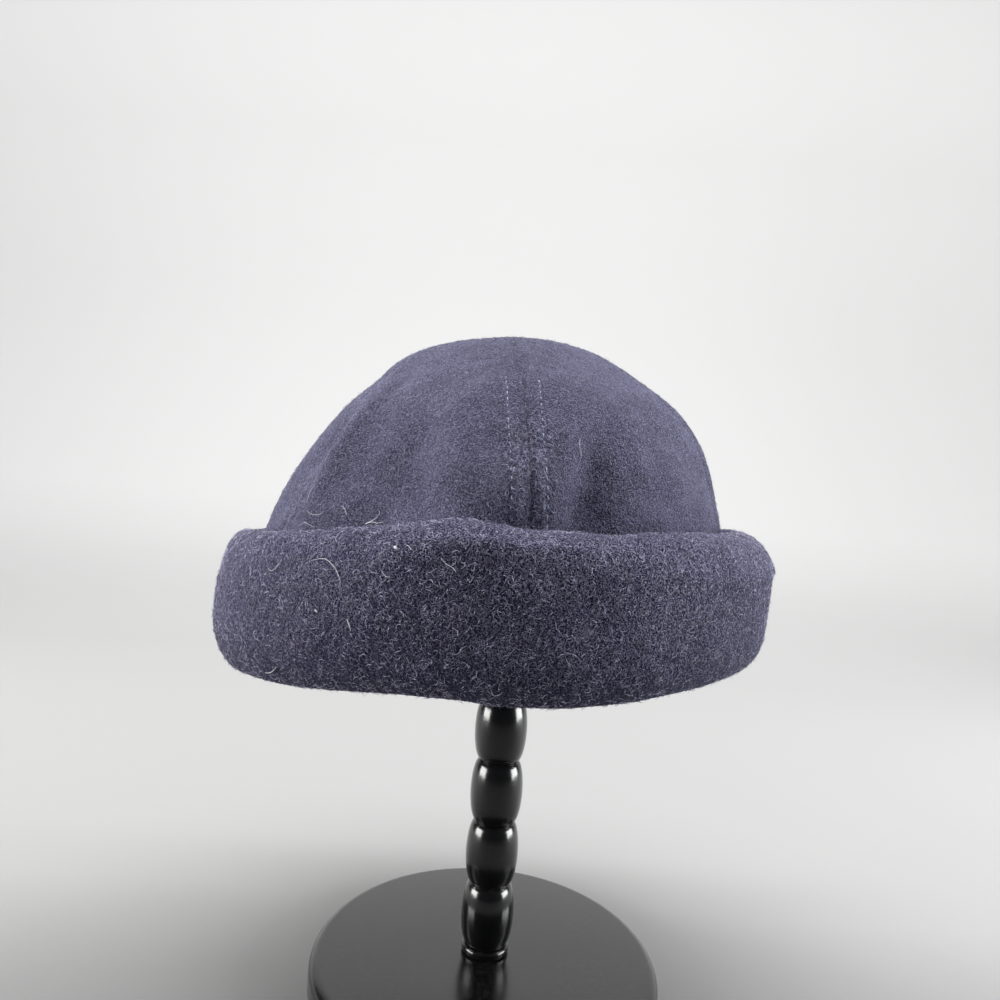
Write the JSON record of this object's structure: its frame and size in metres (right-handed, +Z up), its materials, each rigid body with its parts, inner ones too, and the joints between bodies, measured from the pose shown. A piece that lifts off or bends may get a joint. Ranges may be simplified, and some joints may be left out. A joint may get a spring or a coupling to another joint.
{
  "type": "docker beanie on a turned hat stand",
  "caption": "Six-panel felted wool docker beanie with a wide rolled cuff, resting on a small bead-turned black hat stand.",
  "frame": {"origin": "middle of the underside of the stand's base", "axes": "+Z up along the stand's post, -Y out of the hat's front, +X to the viewer's right"},
  "size_m": [0.2127, 0.2185, 0.2595],
  "materials": {
    "melton": "thick felted wool with a short fuzzy nap",
    "black_lacquer": "turned wood under gloss black lacquer"
  },
  "bodies": {
    "root": {"crown_panel_1": "melton", "crown_panel_2": "melton", "crown_panel_3": "melton", "crown_panel_4": "melton", "crown_panel_5": "melton", "crown_panel_6": "melton", "cuff": "melton", "stand_base": "black_lacquer", "stand_post": "black_lacquer", "stand_cap": "black_lacquer"}
  },
  "joints": []
}
